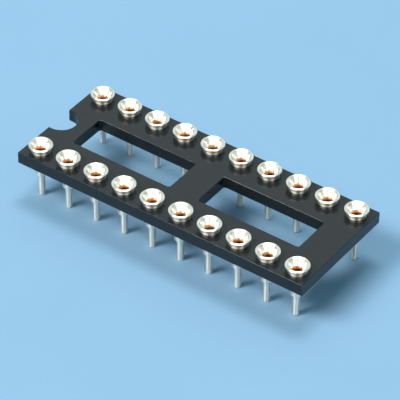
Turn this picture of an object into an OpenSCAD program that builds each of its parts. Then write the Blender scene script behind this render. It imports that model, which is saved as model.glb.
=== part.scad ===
// Turned-contact dual-in-line IC socket: 20 ways, 2.54 mm pitch, 7.62 mm between rows.
// Units are millimetres. The socket stands on the tips of its tails at z = 0,
// with its long side on X, its width on Y and the open funnels facing up.

/* [Contact pattern] */
// Contacts in each row
contacts_per_row = 10; // [4:1:14]
// Distance between neighbouring contacts
pitch = 2.54; // [2.3:0.01:2.54]
// Distance between the two rows
row_spacing = 7.62; // [7.62:2.54:15.24]

/* [Insulator] */
// Thickness of the moulded frame
frame_thickness = 1.0; // [0.9:0.05:2]
// How much shorter the frame is than its count of pitches
end_trim = 0.1; // [0.04:0.02:0.3]
// From a row's centre line to the frame's side
rail_outer = 1.19; // [1:0.01:1.27]
// From a row's centre line to the edge of the windows
rail_inner = 2.14; // [1.2:0.02:2.6]
// Width of the bar at each end of the frame
end_bar = 2.57; // [2:0.01:3]
// Width of the bar between the windows
centre_bar = 2.56; // [1.4:0.02:3.4]
// Corner radius inside the windows
window_corner = 0.2; // [0.1:0.05:0.6]
// Radius of the half-round index notch
notch_radius = 1.24; // [0.8:0.02:1.4]
// Depth of the index notch from the end of the frame
notch_depth = 1.5; // [1.4:0.05:1.7]

/* [Turned sleeve] */
// Radius of the flared rim
rim_radius = 0.915; // [0.88:0.005:1]
// Height of the head above the frame
head_height = 0.54; // [0.5:0.02:1.2]
// Height of the straight outer edge of the rim
rim_edge = 0.07; // [0.05:0.01:0.15]
// Small chamfer on the rim's outer edge
rim_chamfer = 0.03; // [0.01:0.01:0.04]
// Radius of the head's foot, where it sits on the frame
head_foot_radius = 0.75; // [0.7:0.01:0.85]
// Radius of the mouth of the funnel
mouth_radius = 0.73; // [0.6:0.01:0.8]
// Depth of the funnel
funnel_depth = 0.42; // [0.3:0.01:0.44]
// Radius of the throat, the short straight hole at the foot of the funnel
throat_radius = 0.385; // [0.36:0.005:0.41]
// Length of the throat
throat_length = 0.08; // [0.06:0.01:0.12]
// How much wider the clip's seat is than the throat, on the radius
seat_step = 0.02; // [0.01:0.005:0.03]
// How much the clip's seat narrows on the radius, so that the clip wedges in
seat_taper = 0.01; // [0.005:0.005:0.02]
// Radius of the shank held in the frame
shank_radius = 0.62; // [0.58:0.01:0.65]
// Radial clearance of the shank in its hole
shank_clearance = 0.01; // [0.005:0.005:0.03]
// How far the upset ring under the frame stands down
ring_height = 0.1; // [0.06:0.01:0.3]
// Radius of the stand-off barrel below the frame
barrel_radius = 0.47; // [0.43:0.01:0.5]
// Length of the stand-off barrel below the frame
barrel_length = 1.15; // [1.1:0.05:1.6]
// Radius of the solder tail
tail_radius = 0.27; // [0.2:0.01:0.3]
// Length of the solder tail below the barrel
tail_length = 1.96; // [1.4:0.01:4]
// Chamfer at the tip of the tail
tip_chamfer = 0.08; // [0.02:0.01:0.15]
// Solid metal between the bore's floor and the tail
floor_thickness = 0.16; // [0.1:0.02:0.3]

/* [Contact clip] */
// How far the clip's top is below the frame's top face
clip_drop = 0.04; // [0.02:0.01:0.2]
// Length of the clip's collar
collar_length = 0.72; // [0.5:0.02:0.9]
// Thickness of the clip's metal
clip_wall = 0.06; // [0.04:0.01:0.07]
// Radial clearance of the collar in its seat
clip_clearance = 0.005; // [0.005:0.005:0.01]
// Width of the ledge in the sleeve that the collar rests on
ledge_width = 0.05; // [0.03:0.01:0.06]
// Clearance between the fingers' roots and the bore below the ledge
finger_clearance = 0.02; // [0.01:0.01:0.04]
// How far each finger leans in from its root to its tip
finger_lean = 0.07; // [0.02:0.01:0.1]
// Slot between two fingers, in degrees
slot_angle = 24; // [10:1:40]
// Free height below the finger tips
tip_gap = 0.26; // [0.2:0.02:0.4]

/* [Hidden] */
frame_length = contacts_per_row * pitch - end_trim;
frame_width = row_spacing + 2 * rail_outer;
window_length = (frame_length - centre_bar) / 2 - end_bar;
window_width = row_spacing - 2 * rail_inner;

// Heights, from the tips of the tails up.
frame_bottom = tail_length + barrel_length;
frame_top = frame_bottom + frame_thickness;
rim_top = frame_top + head_height;
funnel_bottom = rim_top - funnel_depth;
seat_top = funnel_bottom - throat_length;
clip_top = frame_top - clip_drop;
ledge = clip_top - collar_length;
bore_floor = tail_length + floor_thickness;
drill_cone = 0.14;
finger_tip = bore_floor + tip_gap;

hole_radius = shank_radius + shank_clearance;
seat_radius = throat_radius + seat_step;
// The seat's radius at a height, narrowing from its top to the ledge.
function seat_at(z) = seat_radius - seat_taper * (seat_top - z) / (seat_top - ledge);
function collar_at(z) = seat_at(z) - clip_clearance;
deep_radius = seat_at(ledge) - ledge_width;
finger_outer = deep_radius - finger_clearance;
finger_inner = finger_outer - clip_wall;
grip_radius = finger_inner - finger_lean;

cut = 1;          // how far each cutting shape runs past the faces it cuts
round_fn = 48;
contacts = 2 * contacts_per_row;

function two_digits(n) = n < 10 ? str("0", n) : str(n);

// Contact 1 is beside the notch on the -Y side. The count runs along -Y to +X,
// then back along the +Y side, as on every dual-in-line package.
function along_row(k) = (k - (contacts_per_row - 1) / 2) * pitch;
function contact_xy(n) = n <= contacts_per_row
  ? [along_row(n - 1), -row_spacing / 2]
  : [along_row(contacts - n), row_spacing / 2];

module at_contact(n) {
  translate([contact_xy(n)[0], contact_xy(n)[1], 0]) children();
}

// One window's cut: two crossed boxes with a round in each corner.
module window_cut() {
  r = window_corner;
  h = frame_thickness + 2 * cut;
  translate([centre_bar / 2, -window_width / 2, frame_bottom - cut]) {
    translate([r, 0, 0]) cube([window_length - 2 * r, window_width, h]);
    translate([0, r, 0]) cube([window_length, window_width - 2 * r, h]);
    for (x = [r, window_length - r], y = [r, window_width - r])
      translate([x, y, 0]) cylinder(r = r, h = h, $fn = round_fn);
  }
}

// The index notch marks the end of the frame that has contact 1.
module notch_cut() {
  h = frame_thickness + 2 * cut;
  straight = notch_depth - notch_radius;
  translate([-frame_length / 2, 0, frame_bottom - cut]) {
    translate([straight, 0, 0]) cylinder(r = notch_radius, h = h, $fn = round_fn);
    translate([-cut, -notch_radius, 0]) cube([cut + straight, 2 * notch_radius, h]);
  }
}

module insulator_frame() {
  color("#2b2c2e")
  difference() {
    translate([-frame_length / 2, -frame_width / 2, frame_bottom])
      cube([frame_length, frame_width, frame_thickness]);
    window_cut();
    mirror([1, 0, 0]) window_cut();
    notch_cut();
    for (n = [1 : contacts])
      at_contact(n)
        translate([0, 0, frame_bottom - cut])
          cylinder(r = hole_radius, h = frame_thickness + 2 * cut, $fn = round_fn);
  }
}

// The sleeve is one turned piece: funnel, head, shank, barrel and solder tail.
module sleeve(n) {
  step_chamfer = 0.05;
  color("#d9d6cc")
  at_contact(n)
  rotate_extrude($fn = round_fn)
    polygon([
      // Outside, from the tip of the tail up to the rim.
      [0, 0],
      [tail_radius - tip_chamfer, 0],
      [tail_radius, tip_chamfer],
      [tail_radius, tail_length],
      [barrel_radius - step_chamfer, tail_length],
      [barrel_radius, tail_length + step_chamfer],
      [barrel_radius, frame_bottom - ring_height],
      [shank_radius - step_chamfer, frame_bottom - ring_height],
      [shank_radius, frame_bottom - ring_height + step_chamfer],
      [shank_radius, frame_top],
      [head_foot_radius, frame_top],
      [rim_radius, rim_top - rim_edge],
      [rim_radius, rim_top - rim_chamfer],
      [rim_radius - rim_chamfer, rim_top],
      // Inside, down the funnel, through the throat and the seat to the drilled floor.
      [mouth_radius, rim_top],
      [throat_radius, funnel_bottom],
      [throat_radius, seat_top],
      [seat_at(seat_top), seat_top],
      [seat_at(ledge), ledge],
      [deep_radius, ledge],
      [deep_radius - seat_taper, bore_floor + drill_cone],
      [0, bore_floor]
    ]);
}

// The clip is a pressed cup. Its collar stands on the ledge in the sleeve,
// and four fingers lean in from its floor to grip the lead.
module clip(n) {
  lead_in = 0.1;
  bevel = 0.02;
  floor_top = ledge + clip_wall;
  color("#d8a23c")
  at_contact(n)
  union() {
    rotate_extrude($fn = round_fn)
      polygon([
        [finger_inner, ledge],
        [collar_at(ledge), ledge],
        [collar_at(clip_top), clip_top],
        [collar_at(clip_top) - clip_wall / 3, clip_top],
        [collar_at(clip_top) - clip_wall, clip_top - lead_in],
        [collar_at(ledge) - clip_wall, floor_top],
        [finger_inner + bevel, floor_top]
      ]);
    for (quarter = [0 : 3])
      rotate([0, 0, 90 * quarter + slot_angle / 2])
        rotate_extrude(angle = 90 - slot_angle, $fn = round_fn)
          polygon([
            [finger_inner + bevel / 2, ledge + clip_wall / 2],
            [finger_outer, ledge + clip_wall / 2],
            [finger_outer, ledge],
            [grip_radius + clip_wall, finger_tip],
            [grip_radius, finger_tip],
            [finger_inner, ledge]
          ]);
  }
}

insulator_frame();
for (n = [1 : contacts]) {
  sleeve(n);
  clip(n);
}
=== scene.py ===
# %% [markdown]
# # A turned-contact IC socket
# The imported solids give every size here. Each cell says what a piece is on the real socket,
# how it could be made, and why this way was chosen.

import math

import bmesh
import bpy
from mathutils import Matrix, Vector


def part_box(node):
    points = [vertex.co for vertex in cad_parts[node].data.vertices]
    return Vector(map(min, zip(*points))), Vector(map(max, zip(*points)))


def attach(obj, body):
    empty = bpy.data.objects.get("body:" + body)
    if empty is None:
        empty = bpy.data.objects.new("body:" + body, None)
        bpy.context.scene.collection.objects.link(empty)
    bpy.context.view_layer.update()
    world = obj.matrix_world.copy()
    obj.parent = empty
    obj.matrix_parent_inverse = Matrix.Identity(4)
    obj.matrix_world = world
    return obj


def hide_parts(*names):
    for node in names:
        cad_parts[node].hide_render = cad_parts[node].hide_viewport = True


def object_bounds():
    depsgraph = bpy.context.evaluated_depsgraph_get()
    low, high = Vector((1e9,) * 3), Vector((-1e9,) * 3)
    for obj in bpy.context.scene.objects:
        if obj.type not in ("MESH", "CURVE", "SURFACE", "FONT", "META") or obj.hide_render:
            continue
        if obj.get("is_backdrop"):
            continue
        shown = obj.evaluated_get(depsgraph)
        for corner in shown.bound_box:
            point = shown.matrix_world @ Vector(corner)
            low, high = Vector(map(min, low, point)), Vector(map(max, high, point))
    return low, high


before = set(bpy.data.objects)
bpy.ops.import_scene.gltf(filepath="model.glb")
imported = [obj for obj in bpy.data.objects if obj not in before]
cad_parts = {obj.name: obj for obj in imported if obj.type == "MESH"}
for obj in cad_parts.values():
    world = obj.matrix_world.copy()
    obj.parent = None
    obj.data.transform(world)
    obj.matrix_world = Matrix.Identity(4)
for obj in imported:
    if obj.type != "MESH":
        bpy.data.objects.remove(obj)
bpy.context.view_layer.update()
MM = 0.001

# %% [markdown]
# The 20 contacts stand on a 2.54 mm by 7.62 mm grid. Their places could be worked out from the
# pitch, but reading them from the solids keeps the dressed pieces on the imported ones.

# %% Read the contacts' places and the main heights
contact_places = {}
for number in range(1, 21):
    low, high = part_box(f"sleeve_{number:02d}")
    contact_places[number] = Vector(((low.x + high.x) / 2, (low.y + high.y) / 2, 0))
moulding_low, moulding_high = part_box("insulator_frame")
sleeve_low, sleeve_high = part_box("sleeve_01")
RIM_TOP = sleeve_high.z
FRAME_TOP = moulding_high.z
FRAME_BOTTOM = moulding_low.z
RIM_RADIUS = (sleeve_high.x - sleeve_low.x) / 2
print("contacts:", len(contact_places), "rim top mm:", round(RIM_TOP / MM, 3))

# %% [markdown]
# A small part on a table is seen through a long lens, which keeps its far end nearly as large as
# its near end. The camera is aimed by its bearing, its height and a slight roll, so the rows lie
# across the view as on a workbench.

# %% Set up the camera
CAMERA_BEARING = math.radians(34.887)
CAMERA_HEIGHT = math.radians(39.771)
CAMERA_ROLL = math.radians(0.854)
CAMERA_DISTANCE = 231.945 * MM
LENS_LENGTH = 286.42
SHIFT_RIGHT = 0.2174 * MM
SHIFT_DOWN = 1.7384 * MM
back = Vector((
    math.sin(CAMERA_BEARING) * math.cos(CAMERA_HEIGHT),
    -math.cos(CAMERA_BEARING) * math.cos(CAMERA_HEIGHT),
    math.sin(CAMERA_HEIGHT),
))
level_right = Vector((math.cos(CAMERA_BEARING), math.sin(CAMERA_BEARING), 0))
level_up = back.cross(level_right)
view_right = level_right * math.cos(CAMERA_ROLL) + level_up * math.sin(CAMERA_ROLL)
view_up = level_up * math.cos(CAMERA_ROLL) - level_right * math.sin(CAMERA_ROLL)
lens = bpy.data.cameras.new("bench_camera")
lens.sensor_width = 36
lens.lens = LENS_LENGTH
lens.clip_start = 0.01
lens.clip_end = 20
camera = bpy.data.objects.new("bench_camera", lens)
bpy.context.scene.collection.objects.link(camera)
turn = Matrix((view_right, view_up, back)).transposed().to_4x4()
place = (
    Vector((0, 0, RIM_TOP))
    + back * CAMERA_DISTANCE
    + view_right * SHIFT_RIGHT
    - view_up * SHIFT_DOWN
)
camera.matrix_world = Matrix.Translation(place) @ turn
bpy.context.scene.camera = camera
print("camera in mm:", [round(v / MM, 1) for v in place])

# %% [markdown]
# The light is that of a small product table. A soft lamp on the left gives the shadows that run to
# the right. Two tall soft boxes stand beside the lens with a dark gap between them: the funnels
# mirror that gap as a thin dark line, which is what makes them read as metal. A wide box behind
# the socket lies in the black top as a grey sheen, and a small one overhead whitens the rims.
# The room is dim and green blue, so shadows stay soft and cool.

# %% Light the table


def soft_box(name, bearing, height, distance, width, tall, power, colour):
    """A soft box aimed at the socket. Its bearing is from the camera's, to the right, in degrees."""
    around = CAMERA_BEARING + math.radians(bearing)
    up = math.radians(height)
    towards = Vector((
        math.sin(around) * math.cos(up),
        -math.cos(around) * math.cos(up),
        math.sin(up),
    ))
    lamp = bpy.data.lights.new(name, "AREA")
    lamp.shape = "RECTANGLE"
    lamp.size = width
    lamp.size_y = tall
    lamp.energy = power
    lamp.color = colour
    holder = bpy.data.objects.new(name, lamp)
    bpy.context.scene.collection.objects.link(holder)
    holder.matrix_world = (
        Matrix.Translation(towards * distance)
        @ towards.to_track_quat("Z", "Y").to_matrix().to_4x4()
    )
    holder.visible_camera = False
    return holder


soft_box("key_box", -68, 50, 0.80, 0.28, 0.28, 5.2, (1.0, 0.97, 0.92))
left_strip = soft_box("left_strip", -36, 42, 0.80, 0.42, 0.60, 5.6, (1.0, 0.97, 0.92))
right_strip = soft_box("right_strip", 34, 42, 0.80, 0.36, 0.60, 4.0, (1.0, 0.97, 0.92))
soft_box("far_box", 180, 43, 0.90, 0.90, 0.50, 1.05, (0.98, 1.0, 1.0))
soft_box("top_box", 170, 74, 0.90, 0.34, 0.26, 3.6, (1.0, 0.98, 0.95))
soft_box("back_box", 120, 14, 0.90, 0.50, 0.20, 0.7, (0.95, 0.97, 1.0))
for strip in (left_strip, right_strip):
    strip.visible_diffuse = False
ROOM_COLOUR = (0.42, 0.70, 0.74, 1)
ROOM_STRENGTH = 0.46
room = bpy.data.worlds.new("dim_room")
bpy.context.scene.world = room
room.use_nodes = True
backdrop = room.node_tree.nodes["Background"]
backdrop.inputs["Color"].default_value = ROOM_COLOUR
backdrop.inputs["Strength"].default_value = ROOM_STRENGTH
bpy.context.scene.view_settings.view_transform = "Standard"

# %% [markdown]
# Small shader helpers. Every finish below is a short chain of nodes, so each helper adds one node
# and links it, and the finish itself stays easy to read.

# %% Helpers for node trees


def add(tree, kind, **settings):
    """One node with its settings."""
    node = tree.nodes.new(kind)
    for key, value in settings.items():
        setattr(node, key, value)
    return node


def link(tree, source, output, target, into):
    """Join one node's output to another's input."""
    tree.links.new(source.outputs[output], target.inputs[into])


print("helpers ready")

# %% [markdown]
# Nothing that has been handled is quite even. A cloud of soft blotches with fine grain over it
# serves plastic, metal and card alike, so it is one group with its own sizes and strengths.

# %% Make the uneven surface group


def make_uneven():
    group = bpy.data.node_groups.new("uneven_surface", "ShaderNodeTree")
    face = group.interface
    face.new_socket(name="Place", in_out="INPUT", socket_type="NodeSocketVector")
    for name, value in (("Blotch Scale", 300.0), ("Grain Scale", 4000.0), ("Grain Share", 0.4)):
        socket = face.new_socket(name=name, in_out="INPUT", socket_type="NodeSocketFloat")
        socket.default_value = value
    face.new_socket(name="Cloud", in_out="OUTPUT", socket_type="NodeSocketFloat")
    face.new_socket(name="Grain", in_out="OUTPUT", socket_type="NodeSocketFloat")
    start = add(group, "NodeGroupInput")
    end = add(group, "NodeGroupOutput")
    blotch = add(group, "ShaderNodeTexNoise")
    blotch.inputs["Detail"].default_value = 3
    grain = add(group, "ShaderNodeTexNoise")
    grain.inputs["Detail"].default_value = 2
    both = add(group, "ShaderNodeMix", data_type="FLOAT")
    link(group, start, "Place", blotch, "Vector")
    link(group, start, "Place", grain, "Vector")
    link(group, start, "Blotch Scale", blotch, "Scale")
    link(group, start, "Grain Scale", grain, "Scale")
    link(group, start, "Grain Share", both, 0)
    link(group, blotch, 0, both, 2)
    link(group, grain, 0, both, 3)
    link(group, both, 0, end, "Cloud")
    link(group, grain, 0, end, "Grain")
    return group


uneven = make_uneven()
print("group:", uneven.name)

# %% [markdown]
# A turned piece carries fine rings left by the tool's point. They run round the axis at every
# height, so a ring pattern along Z serves cones and cylinders alike. The group gives the rings as
# a height for a bump, with a slow wander so that no two rings are spaced the same.

# %% Make the turning rings group


def make_rings():
    group = bpy.data.node_groups.new("turning_rings", "ShaderNodeTree")
    face = group.interface
    face.new_socket(name="Place", in_out="INPUT", socket_type="NodeSocketVector")
    for name, value in (("Ring Scale", 20000.0), ("Wander", 0.6)):
        socket = face.new_socket(name=name, in_out="INPUT", socket_type="NodeSocketFloat")
        socket.default_value = value
    face.new_socket(name="Rings", in_out="OUTPUT", socket_type="NodeSocketFloat")
    start = add(group, "NodeGroupInput")
    end = add(group, "NodeGroupOutput")
    only_height = add(group, "ShaderNodeVectorMath", operation="MULTIPLY")
    only_height.inputs[1].default_value = (0.02, 0.02, 1)
    rings = add(group, "ShaderNodeTexNoise")
    rings.inputs["Roughness"].default_value = 0.6
    link(group, start, "Place", only_height, 0)
    link(group, only_height, 0, rings, "Vector")
    link(group, start, "Ring Scale", rings, "Scale")
    link(group, start, "Wander", rings, "Detail")
    link(group, rings, 0, end, "Rings")
    return group


rings_group = make_rings()
print("group:", rings_group.name)

# %% [markdown]
# Every finish starts alike: a colour that wanders between two tints. After that come a gloss that
# wanders with it and a small bump. These are steps of their own, so that a finish is just its
# numbers.

# %% Make the steps of a finish


def start_finish(name, blotch, grain, share, dark, light):
    """A new material with its shader, its coordinates, its cloud and its tinted colour."""
    finish = bpy.data.materials.new(name)
    finish.use_nodes = True
    tree = finish.node_tree
    shader = tree.nodes["Principled BSDF"]
    coords = add(tree, "ShaderNodeTexCoord")
    cloud = add(tree, "ShaderNodeGroup", node_tree=uneven)
    cloud.inputs["Blotch Scale"].default_value = blotch
    cloud.inputs["Grain Scale"].default_value = grain
    cloud.inputs["Grain Share"].default_value = share
    tint = add(tree, "ShaderNodeMix", data_type="RGBA")
    tint.inputs[6].default_value = (*dark, 1)
    tint.inputs[7].default_value = (*light, 1)
    link(tree, coords, "Object", cloud, "Place")
    link(tree, cloud, "Cloud", tint, 0)
    link(tree, tint, 2, shader, "Base Color")
    return finish, tree, shader, coords, cloud


def add_gloss(tree, shader, cloud, low, high):
    """A roughness that wanders with the cloud."""
    gloss = add(tree, "ShaderNodeMapRange")
    gloss.inputs["To Min"].default_value = low
    gloss.inputs["To Max"].default_value = high
    link(tree, cloud, "Cloud", gloss, 0)
    link(tree, gloss, 0, shader, "Roughness")


def add_bump(tree, shader, source, output, strength, distance):
    """A bump from one of a group's heights."""
    bump = add(tree, "ShaderNodeBump")
    bump.inputs["Strength"].default_value = strength
    bump.inputs["Distance"].default_value = distance
    link(tree, source, output, bump, "Height")
    link(tree, bump, "Normal", shader, "Normal")


def add_rings(tree, shader, coords, scale, strength):
    """The tool's rings as a bump."""
    rings = add(tree, "ShaderNodeGroup", node_tree=rings_group)
    rings.inputs["Ring Scale"].default_value = scale
    link(tree, coords, "Object", rings, "Place")
    add_bump(tree, shader, rings, "Rings", strength, 0.01 * MM)


print("finish steps ready")

# %% [markdown]
# The floor is a sheet of pale blue card. Card has a soft tooth and faint clouding, and hardly any
# shine.

# %% Finish for the pale card
card, tree, shader, coords, cloud = start_finish(
    "pale_card", 90, 1500, 0.25, (0.225, 0.405, 0.60), (0.25, 0.43, 0.63)
)
add_bump(tree, shader, cloud, "Grain", 0.15, 0.05 * MM)
shader.inputs["Roughness"].default_value = 0.75
shader.inputs["Specular IOR Level"].default_value = 0.25
print("finish:", card.name)

# %% [markdown]
# The table top is a round sheet that lifts gently at its far edge, as a studio's paper sweep does.
# It is a lathe of five radii. A view from very low down still sees the dim room above its edge.

# %% Make the floor


def ring_sheet(name, outline, steps):
    """A sheet turned round the Z axis from (radius, height) pairs."""
    points = []
    faces = []
    for radius, height in outline:
        for step in range(steps):
            angle = math.tau * step / steps
            points.append((radius * math.cos(angle), radius * math.sin(angle), height))
    for row in range(len(outline) - 1):
        for step in range(steps):
            beside = (step + 1) % steps
            faces.append((
                row * steps + step,
                (row + 1) * steps + step,
                (row + 1) * steps + beside,
                row * steps + beside,
            ))
    faces.append(tuple(range(steps)))
    mesh = bpy.data.meshes.new(name)
    mesh.from_pydata(points, [], faces)
    mesh.validate()
    sheet = bpy.data.objects.new(name, mesh)
    bpy.context.scene.collection.objects.link(sheet)
    return sheet


FLOOR_OUTLINE = [(0.3, 0), (1.2, 0), (1.6, 0.01), (2.0, 0.06), (2.3, 0.16)]
FLOOR_STEPS = 96
floor = ring_sheet("floor", FLOOR_OUTLINE, FLOOR_STEPS)
floor.data.materials.append(card)
for face in floor.data.polygons:
    face.use_smooth = True
floor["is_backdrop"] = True
print("floor faces:", len(floor.data.polygons))

# %% [markdown]
# The insulator is moulded in black glass-filled plastic. Its skin is satin: it mirrors each metal
# head as two soft streaks, yet its colour is a charcoal grey in the light. Short glass fibres
# leave a faint speckle, and the steel of the mould a fine grain.

# %% Finish for the black moulding
moulded, tree, shader, coords, cloud = start_finish(
    "moulded_black", 500, 9000, 0.45, (0.009, 0.011, 0.012), (0.017, 0.020, 0.021)
)
add_gloss(tree, shader, cloud, 0.13, 0.22)
add_bump(tree, shader, cloud, "Grain", 0.10, 0.02 * MM)
shader.inputs["IOR"].default_value = 1.56
shader.inputs["Specular IOR Level"].default_value = 0.28
print("finish:", moulded.name)

# %% [markdown]
# The sleeves are turned from brass and plated with bright tin. Tin is a warm white metal. The
# tool's rings spread each highlight along the profile, which draws light and dark streaks from
# rim to hole, so the shine is stretched along the profile with the piece's own UV map.

# %% Finish for the tinned sleeves
tinned, tree, shader, coords, cloud = start_finish(
    "bright_tin", 900, 6000, 0.35, (0.90, 0.82, 0.71), (0.98, 0.93, 0.85)
)
add_gloss(tree, shader, cloud, 0.30, 0.38)
add_rings(tree, shader, coords, 22000, 0.12)
grain_line = add(tree, "ShaderNodeTangent", direction_type="UV_MAP", uv_map="turned")
link(tree, grain_line, "Tangent", shader, "Tangent")
shader.inputs["Metallic"].default_value = 0.95
shader.inputs["Anisotropic"].default_value = 0.97
print("finish:", tinned.name)

# %% [markdown]
# The clips are pressed from beryllium copper and plated with gold. Their colour here is painted
# shade: a deep orange brown, darker than gold, that stands for the gold lying in shadow deep in the
# hole.

# %% Finish for the gold clips
# painted shade: both gold tints are darkened to a deep orange brown for the shadow in the hole
gold_with_painted_shade, tree, shader, coords, cloud = start_finish(
    "gold_plate", 1500, 9000, 0.4, (0.44, 0.20, 0.07), (0.64, 0.33, 0.13)
)
add_gloss(tree, shader, cloud, 0.22, 0.40)
add_rings(tree, shader, coords, 16000, 0.10)
shader.inputs["Metallic"].default_value = 1
print("finish:", gold_with_painted_shade.name)

# %% [markdown]
# The moulding is one flat frame: a bar round the outside, one across the middle, a half-round
# index notch and a hole for each sleeve. It could be cut from a box, but a flat closed outline
# with its openings, thickened with a small round edge, gives every edge the soft break of a real
# mould in one step.

# %% Draw and thicken the moulding
EDGE = 0.045 * MM
HOLE = 0.64 * MM
NOTCH_RADIUS = 1.24 * MM
NOTCH_DEPTH = 1.5 * MM
half_long = (moulding_high.x - moulding_low.x) / 2
half_wide = (moulding_high.y - moulding_low.y) / 2
WINDOW_NEAR = 1.28 * MM
WINDOW_FAR = 10.08 * MM
WINDOW_HALF = 1.67 * MM
WINDOW_CORNER = 0.2 * MM
CORNER_STEPS = 10
NOTCH_STEPS = 28
HOLE_STEPS = 60
SMOOTH_UNDER = math.radians(12)


def arc(centre, radius, start, stop, steps):
    """Points along an arc, angles in degrees."""
    points = []
    for step in range(steps + 1):
        angle = math.radians(start + (stop - start) * step / steps)
        points.append((centre[0] + radius * math.cos(angle), centre[1] + radius * math.sin(angle)))
    return points


def window_outline(side):
    """A window with rounded corners, on the side of +X or -X."""
    right = WINDOW_FAR - WINDOW_CORNER
    left = WINDOW_NEAR + WINDOW_CORNER
    top = WINDOW_HALF - WINDOW_CORNER
    centres = [(right, top), (left, top), (left, -top), (right, -top)]
    points = []
    for quarter, centre in enumerate(centres):
        start = 90 * quarter
        points += arc(centre, WINDOW_CORNER, start, start + 90, CORNER_STEPS)
    return [(side * x, y) for x, y in points]


outer = [(half_long, -half_wide), (half_long, half_wide), (-half_long, half_wide)]
outer += [(-half_long, NOTCH_RADIUS)]
notch_centre = (NOTCH_DEPTH - NOTCH_RADIUS - half_long, 0)
outer += arc(notch_centre, NOTCH_RADIUS, 90, -90, NOTCH_STEPS)
outer += [(-half_long, -NOTCH_RADIUS), (-half_long, -half_wide)]
outlines = [outer, window_outline(1), window_outline(-1)]
for spot in contact_places.values():
    last_step = 360 - 360 / HOLE_STEPS
    outlines.append(arc((spot.x, spot.y), HOLE, 0, last_step, HOLE_STEPS - 1))
drawing = bpy.data.curves.new("moulding_outline", "CURVE")
drawing.dimensions = "2D"
drawing.fill_mode = "BOTH"
drawing.extrude = (FRAME_TOP - FRAME_BOTTOM) / 2 - EDGE
drawing.bevel_depth = EDGE
drawing.bevel_resolution = 2
drawing.offset = -EDGE
for outline in outlines:
    line = drawing.splines.new("POLY")
    line.points.add(len(outline) - 1)
    for point, (x, y) in zip(line.points, outline):
        point.co = (x, y, 0, 1)
    line.use_cyclic_u = True
sketch = bpy.data.objects.new("moulding_sketch", drawing)
bpy.context.scene.collection.objects.link(sketch)
bpy.context.view_layer.update()
graph = bpy.context.evaluated_depsgraph_get()
shape = bpy.data.meshes.new_from_object(sketch.evaluated_get(graph))
shape.transform(Matrix.Translation((0, 0, (FRAME_TOP + FRAME_BOTTOM) / 2)))
bpy.data.objects.remove(sketch)
moulding = bpy.data.objects.new("moulded_frame", shape)
bpy.context.scene.collection.objects.link(moulding)
shape.materials.clear()
shape.materials.append(moulded)
welded = bmesh.new()
welded.from_mesh(shape)
bmesh.ops.remove_doubles(welded, verts=welded.verts, dist=0.001 * MM)
bmesh.ops.recalc_face_normals(welded, faces=welded.faces)
welded.to_mesh(shape)
welded.free()
for face in shape.polygons:
    face.use_smooth = True
shape.set_sharp_from_angle(angle=SMOOTH_UNDER)
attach(moulding, "root")
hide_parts("insulator_frame")
print("moulding size mm:", [round(v / MM, 3) for v in moulding.dimensions])

# %% [markdown]
# A sleeve is turned from bar in one piece: a funnel in a flared head, a shank in the frame, a
# barrel below it and a solder tail. Its shape is a profile spun about an axis, so a Geometry Nodes
# lathe makes it: the profile is drawn once, and the tree wraps it round and carries it to its
# contact's place. The same tree makes all 20.

# %% Draw the sleeve's profile
FOOT_RADIUS = 0.75 * MM
MOUTH_RADIUS = 0.73 * MM
THROAT_RADIUS = 0.385 * MM
TAIL_RADIUS = 0.27 * MM
BARREL_RADIUS = 0.47 * MM
SHANK_RADIUS = 0.62 * MM
TAIL_TOP = 1.96 * MM
FUNNEL_BOTTOM = RIM_TOP - 0.42 * MM
THROAT_BOTTOM = FUNNEL_BOTTOM - 0.08 * MM
RING_BOTTOM = FRAME_BOTTOM - 0.1 * MM
NECK_TOP = FRAME_TOP + 0.18 * MM
RIM_FOOT = RIM_TOP - 0.07 * MM
SEAT_TOP_RADIUS = 0.405 * MM
SEAT_FOOT_RADIUS = 0.395 * MM
BORE_TOP_RADIUS = 0.345 * MM
BORE_FOOT_RADIUS = 0.335 * MM
LEDGE = 3.35 * MM
DRILL_SHOULDER = 2.26 * MM
DRILL_POINT = 2.12 * MM


def eased(corner, before, after, size, steps=4):
    """A profile corner with a small round in place of its sharp point."""
    corner, before, after = Vector(corner), Vector(before), Vector(after)
    first = corner + (before - corner).normalized() * size
    last = corner + (after - corner).normalized() * size
    points = []
    for step in range(steps + 1):
        t = step / steps
        points.append(first * (1 - t) ** 2 + corner * 2 * t * (1 - t) + last * t * t)
    return [tuple(p) for p in points]


def sleeve_profile():
    """(radius, height) pairs from the tip of the tail, up the outside, and down the inside."""
    corners = [
        ((TAIL_RADIUS, 0), 0.10),
        ((TAIL_RADIUS, TAIL_TOP), 0.02),
        ((BARREL_RADIUS, TAIL_TOP), 0.04),
        ((BARREL_RADIUS, RING_BOTTOM), 0.02),
        ((SHANK_RADIUS, RING_BOTTOM), 0.05),
        ((SHANK_RADIUS, FRAME_TOP), 0.0),
        ((FOOT_RADIUS, FRAME_TOP), 0.02),
        ((FOOT_RADIUS, NECK_TOP), 0.06),
        ((RIM_RADIUS, RIM_FOOT), 0.03),
        ((RIM_RADIUS, RIM_TOP), 0.03),
        ((MOUTH_RADIUS, RIM_TOP), 0.025),
        ((THROAT_RADIUS, FUNNEL_BOTTOM), 0.03),
        ((THROAT_RADIUS, THROAT_BOTTOM), 0.0),
        ((SEAT_TOP_RADIUS, THROAT_BOTTOM), 0.0),
        ((SEAT_FOOT_RADIUS, LEDGE), 0.0),
        ((BORE_TOP_RADIUS, LEDGE), 0.0),
        ((BORE_FOOT_RADIUS, DRILL_SHOULDER), 0.0),
    ]
    spots = [(0, 0)] + [c[0] for c in corners] + [(0, DRILL_POINT)]
    points = [(0, 0)]
    for index, (corner, size) in enumerate(corners, 1):
        if size:
            points += eased(corner, spots[index - 1], spots[index + 1], size * MM)
        else:
            points.append(corner)
    points.append((0, DRILL_POINT))
    return points


profile = sleeve_profile()
print("profile points:", len(profile))

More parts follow.
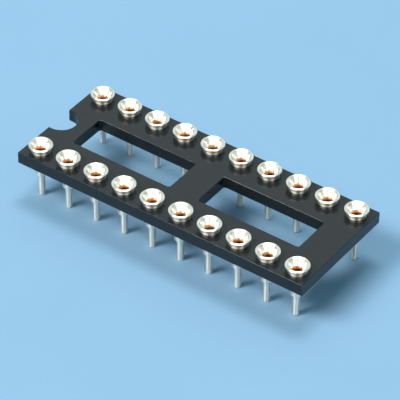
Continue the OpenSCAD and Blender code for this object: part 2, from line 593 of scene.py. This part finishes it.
# %% [markdown]
# On a lathe the bar turns and the tool's path gives the shape. Here the path is a chain of points
# and the tree does the turning: a grid has one column for each step round the axis and one row
# for each point of the path. A turned polygon would do for one piece, but a tree with named
# inputs serves any profile, and its rows and columns give the UV map that the shine follows.

# %% Build the lathe tree


def make_lathe(count):
    """A tree that wraps a chain of profile points, read as radius and height, round the Z axis."""
    tree = bpy.data.node_groups.new("lathe", "GeometryNodeTree")
    face = tree.interface
    face.new_socket(name="Profile", in_out="INPUT", socket_type="NodeSocketGeometry")
    steps = face.new_socket(name="Steps Around", in_out="INPUT", socket_type="NodeSocketInt")
    steps.default_value = 64
    face.new_socket(name="Contact Place", in_out="INPUT", socket_type="NodeSocketVector")
    face.new_socket(name="Finish", in_out="INPUT", socket_type="NodeSocketMaterial")
    face.new_socket(name="Turned Piece", in_out="OUTPUT", socket_type="NodeSocketGeometry")
    start = add(tree, "NodeGroupInput")
    end = add(tree, "NodeGroupOutput")
    more = add(tree, "ShaderNodeMath", operation="ADD")
    more.inputs[1].default_value = 1
    grid = add(tree, "GeometryNodeMeshGrid")
    grid.inputs["Vertices Y"].default_value = count
    index = add(tree, "GeometryNodeInputIndex")
    column = add(tree, "ShaderNodeMath", operation="DIVIDE")
    column.inputs[1].default_value = count
    whole = add(tree, "ShaderNodeMath", operation="FLOOR")
    row = add(tree, "ShaderNodeMath", operation="MODULO")
    row.inputs[1].default_value = count
    spot = add(tree, "GeometryNodeInputPosition")
    sample = add(tree, "GeometryNodeSampleIndex", data_type="FLOAT_VECTOR", domain="POINT")
    parts = add(tree, "ShaderNodeSeparateXYZ")
    share = add(tree, "ShaderNodeMath", operation="DIVIDE")
    angle = add(tree, "ShaderNodeMath", operation="MULTIPLY")
    angle.inputs[1].default_value = math.tau
    cosine = add(tree, "ShaderNodeMath", operation="COSINE")
    sine = add(tree, "ShaderNodeMath", operation="SINE")
    across = add(tree, "ShaderNodeMath", operation="MULTIPLY")
    along = add(tree, "ShaderNodeMath", operation="MULTIPLY")
    joined = add(tree, "ShaderNodeCombineXYZ")
    wrap = add(tree, "GeometryNodeSetPosition")
    uv = add(tree, "ShaderNodeCombineXYZ")
    per_point = add(tree, "GeometryNodeFieldOnDomain", data_type="FLOAT_VECTOR", domain="POINT")
    store = add(tree, "GeometryNodeStoreNamedAttribute", data_type="FLOAT2", domain="CORNER")
    store.inputs["Name"].default_value = "turned"
    seam = add(tree, "GeometryNodeMergeByDistance")
    seam.inputs["Distance"].default_value = 0.0004 * MM
    carry = add(tree, "GeometryNodeTransform")
    smooth = add(tree, "GeometryNodeSetShadeSmooth")
    realize = add(tree, "GeometryNodeRealizeInstances")
    paint = add(tree, "GeometryNodeSetMaterial")
    link(tree, start, "Steps Around", more, 0)
    link(tree, more, 0, grid, "Vertices X")
    link(tree, index, 0, column, 0)
    link(tree, column, 0, whole, 0)
    link(tree, index, 0, row, 0)
    link(tree, start, "Profile", sample, "Geometry")
    link(tree, spot, 0, sample, "Value")
    link(tree, row, 0, sample, "Index")
    link(tree, sample, 0, parts, 0)
    link(tree, whole, 0, share, 0)
    link(tree, start, "Steps Around", share, 1)
    link(tree, share, 0, angle, 0)
    link(tree, angle, 0, cosine, 0)
    link(tree, angle, 0, sine, 0)
    link(tree, parts, "X", across, 0)
    link(tree, cosine, 0, across, 1)
    link(tree, parts, "X", along, 0)
    link(tree, sine, 0, along, 1)
    link(tree, across, 0, joined, "X")
    link(tree, along, 0, joined, "Y")
    link(tree, parts, "Z", joined, "Z")
    link(tree, row, 0, uv, "X")
    link(tree, whole, 0, uv, "Y")
    link(tree, grid, "Mesh", store, "Geometry")
    link(tree, uv, 0, per_point, 0)
    link(tree, per_point, 0, store, "Value")
    link(tree, store, 0, wrap, "Geometry")
    link(tree, joined, 0, wrap, "Position")
    link(tree, wrap, 0, seam, "Geometry")
    link(tree, seam, 0, carry, "Geometry")
    link(tree, start, "Contact Place", carry, "Translation")
    link(tree, carry, 0, smooth, "Geometry")
    link(tree, smooth, 0, realize, "Geometry")
    link(tree, realize, 0, paint, "Geometry")
    link(tree, start, "Finish", paint, "Material")
    link(tree, paint, 0, end, "Turned Piece")
    return tree


lathe = make_lathe(len(profile))
print("lathe nodes:", len(lathe.nodes))

# %% [markdown]
# All 20 sleeves come off one machine and are alike, so one profile makes them all. Each is a plain
# piece of its own, as a person would press them into the moulding one at a time.

# %% Turn the 20 sleeves


def turn_piece(name, tree, outline, **inputs):
    """Runs a lathe tree over a profile, and gives back the plain piece."""
    chain = bpy.data.meshes.new(name)
    chain.from_pydata([(x, 0, z) for x, z in outline], [], [])
    piece = bpy.data.objects.new(name, chain)
    bpy.context.scene.collection.objects.link(piece)
    work = piece.modifiers.new("lathe", "NODES")
    work.node_group = tree
    for item in tree.interface.items_tree:
        key = item.name.replace(" ", "_").lower()
        if item.in_out == "INPUT" and key in inputs:
            work[item.identifier] = inputs[key]
    graph = bpy.context.evaluated_depsgraph_get()
    plain = bpy.data.meshes.new_from_object(piece.evaluated_get(graph))
    piece.modifiers.clear()
    piece.data = plain
    bpy.data.meshes.remove(chain)
    return piece


sleeves = {}
for number, spot in contact_places.items():
    sleeve = turn_piece(
        f"turned_sleeve_{number:02d}", lathe, profile, contact_place=tuple(spot), finish=tinned
    )
    sleeve.data.set_sharp_from_angle(angle=math.radians(40))
    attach(sleeve, "root")
    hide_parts(f"sleeve_{number:02d}")
    sleeves[number] = sleeve
print("sleeves:", len(sleeves), "faces each:", len(sleeves[1].data.polygons))

# %% [markdown]
# Each clip is a pressed cup with four fingers that lean in to grip a lead. The solid already has
# that shape, so the clip stays as it is and only takes its gold finish, darkened with painted shade.

# %% Gild the clips
for number in range(1, 21):
    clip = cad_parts[f"clip_{number:02d}"]
    if not clip.data.materials:
        clip.data.materials.append(gold_with_painted_shade)
    for index in range(len(clip.material_slots)):
        clip.material_slots[index].material = gold_with_painted_shade
print("clips gilded:", 20)

# %% [markdown]
# Last, the dressed socket's box is printed.

# %% Print the dressed box
low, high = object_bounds()
print("dressed box in mm:", [round(v / MM, 3) for v in (high - low)])
